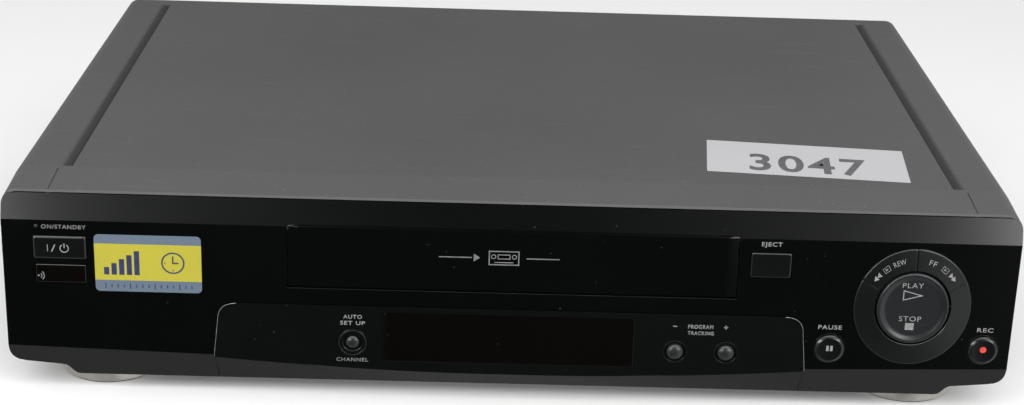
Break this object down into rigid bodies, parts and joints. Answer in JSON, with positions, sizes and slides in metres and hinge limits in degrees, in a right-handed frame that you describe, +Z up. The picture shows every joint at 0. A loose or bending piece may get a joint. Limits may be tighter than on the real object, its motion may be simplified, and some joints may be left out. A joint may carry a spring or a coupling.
{
  "type": "video cassette recorder",
  "caption": "Full-size front-loading video cassette recorder with a hinged cassette flap, push buttons, a transport ring and a tape deck inside.",
  "frame": {"origin": "on the floor, under the middle of the machine's outer box, front protrusions and rear sockets included", "axes": "+X to the right seen from the front, +Y to the back, +Z up"},
  "size_m": [0.43, 0.2922, 0.0962],
  "materials": {
    "casing_paint": "matte",
    "panel_gloss": "gloss",
    "insert_satin": "satin",
    "button_satin": "satin",
    "smoked_window": "gloss",
    "tube_glass": "gloss",
    "lamp_lens": "gloss",
    "foot_silver": "satin",
    "front_sticker": "satin",
    "paper_label": "matte",
    "plated_steel": "satin",
    "circuit_board": "satin",
    "iron_core": "satin",
    "socket_plastic": "satin",
    "drum_alloy": "polished",
    "roller_rubber": "matte"
  },
  "bodies": {
    "casing": {"top_cover": "casing_paint", "chassis_base": "casing_paint", "rear_panel": "casing_paint", "front_panel": "panel_gloss", "control_insert": "insert_satin", "display_window": "smoked_window", "ir_window": "smoked_window", "display_tube": "tube_glass", "standby_led": "lamp_lens", "door_spring": "plated_steel", "transport_ring": "button_satin", "foot_front_left": "foot_silver", "foot_front_right": "foot_silver", "foot_rear_left": "foot_silver", "foot_rear_right": "foot_silver", "front_label": "front_sticker", "lot_label": "paper_label", "key_board": "circuit_board", "main_board": "circuit_board", "power_board": "circuit_board", "transformer": "iron_core", "tuner_box": "plated_steel", "scart_socket_1": "socket_plastic", "scart_socket_2": "socket_plastic", "audio_jacks": "socket_plastic", "mains_inlet": "socket_plastic", "deck_plate": "plated_steel", "side_frame_left": "plated_steel", "side_frame_right": "plated_steel", "drum_base": "drum_alloy", "supply_guide_post": "drum_alloy", "takeup_guide_post": "drum_alloy", "loading_motor": "plated_steel", "deck_screw_1": "plated_steel", "deck_screw_2": "plated_steel", "deck_screw_3": "plated_steel", "deck_screw_4": "plated_steel", "cover_screw_1": "plated_steel", "cover_screw_2": "plated_steel", "cover_screw_3": "plated_steel"},
    "flap": {"cassette_door": "panel_gloss"},
    "power_key": {"power_button": "button_satin"},
    "eject_key": {"eject_button": "button_satin"},
    "rewind_key": {"rewind_button": "button_satin"},
    "forward_key": {"forward_button": "button_satin"},
    "play_stop_rocker": {"play_stop_disc": "panel_gloss"},
    "pause_key": {"pause_button": "panel_gloss"},
    "record_key": {"record_button": "panel_gloss"},
    "setup_key": {"setup_button": "button_satin"},
    "program_down_key": {"program_down_button": "button_satin"},
    "program_up_key": {"program_up_button": "button_satin"},
    "carriage": {"carriage_slider": "socket_plastic"},
    "basket": {"cassette_basket": "plated_steel"},
    "upper_drum": {"head_drum": "drum_alloy"},
    "capstan": {"capstan_flywheel": "drum_alloy"},
    "supply_table": {"supply_reel": "socket_plastic"},
    "takeup_table": {"takeup_reel": "socket_plastic"},
    "pinch_lever": {"pinch_arm": "plated_steel"},
    "pinch_wheel": {"pinch_roller": "roller_rubber"}
  },
  "joints": [
    {"name": "flap_swing", "type": "hinge", "parent": "casing", "child": "flap", "pos_m": [0, -0.142, 0.0806], "axis": [1, 0, 0], "range_deg": [0, 88], "stiffness_Nm_per_rad": 0.004, "springref_deg": -28.65},
    {"name": "power_press", "type": "slide", "parent": "casing", "child": "power_key", "axis": [0, 1, 0], "range_m": [0, 0.0012], "stiffness_N_per_m": 400},
    {"name": "eject_press", "type": "slide", "parent": "casing", "child": "eject_key", "axis": [0, 1, 0], "range_m": [0, 0.0012], "stiffness_N_per_m": 400},
    {"name": "rewind_press", "type": "slide", "parent": "casing", "child": "rewind_key", "axis": [0, 1, 0], "range_m": [0, 0.0012], "stiffness_N_per_m": 400},
    {"name": "forward_press", "type": "slide", "parent": "casing", "child": "forward_key", "axis": [0, 1, 0], "range_m": [0, 0.0012], "stiffness_N_per_m": 400},
    {"name": "play_stop_rock", "type": "hinge", "parent": "casing", "child": "play_stop_rocker", "pos_m": [0.171, -0.1424, 0.0522], "axis": [1, 0, 0], "range_deg": [-3.5, 3.5], "stiffness_Nm_per_rad": 0.4},
    {"name": "pause_press", "type": "slide", "parent": "casing", "child": "pause_key", "axis": [0, 1, 0], "range_m": [0, 0.0012], "stiffness_N_per_m": 400},
    {"name": "record_press", "type": "slide", "parent": "casing", "child": "record_key", "axis": [0, 1, 0], "range_m": [0, 0.0012], "stiffness_N_per_m": 400},
    {"name": "setup_press", "type": "slide", "parent": "casing", "child": "setup_key", "axis": [0, 1, 0], "range_m": [0, 0.0012], "stiffness_N_per_m": 400},
    {"name": "program_down_press", "type": "slide", "parent": "casing", "child": "program_down_key", "axis": [0, 1, 0], "range_m": [0, 0.0012], "stiffness_N_per_m": 400},
    {"name": "program_up_press", "type": "slide", "parent": "casing", "child": "program_up_key", "axis": [0, 1, 0], "range_m": [0, 0.0012], "stiffness_N_per_m": 400},
    {"name": "carriage_slide", "type": "slide", "parent": "casing", "child": "carriage", "axis": [0, 1, 0], "range_m": [0, 0.05]},
    {"name": "basket_drop", "type": "slide", "parent": "carriage", "child": "basket", "axis": [0, 0, -1], "range_m": [0, 0.02]},
    {"name": "drum_spin", "type": "hinge", "parent": "casing", "child": "upper_drum", "pos_m": [0, 0.0781, 0.06], "axis": [0, 0, 1], "continuous": true},
    {"name": "capstan_spin", "type": "hinge", "parent": "casing", "child": "capstan", "pos_m": [0.052, 0.0541, 0.024], "axis": [0, 0, 1], "continuous": true},
    {"name": "supply_reel_spin", "type": "hinge", "parent": "casing", "child": "supply_table", "pos_m": [-0.046, -0.0079, 0.035], "axis": [0, 0, 1], "continuous": true},
    {"name": "takeup_reel_spin", "type": "hinge", "parent": "casing", "child": "takeup_table", "pos_m": [0.046, -0.0079, 0.035], "axis": [0, 0, 1], "continuous": true},
    {"name": "pinch_swing", "type": "hinge", "parent": "casing", "child": "pinch_lever", "pos_m": [0.076, 0.0881, 0.031], "axis": [0, 0, -1], "range_deg": [0, 20]},
    {"name": "pinch_roller_spin", "type": "hinge", "parent": "pinch_lever", "child": "pinch_wheel", "pos_m": [0.0716, 0.0531, 0.044], "axis": [0, 0, 1], "continuous": true}
  ]
}
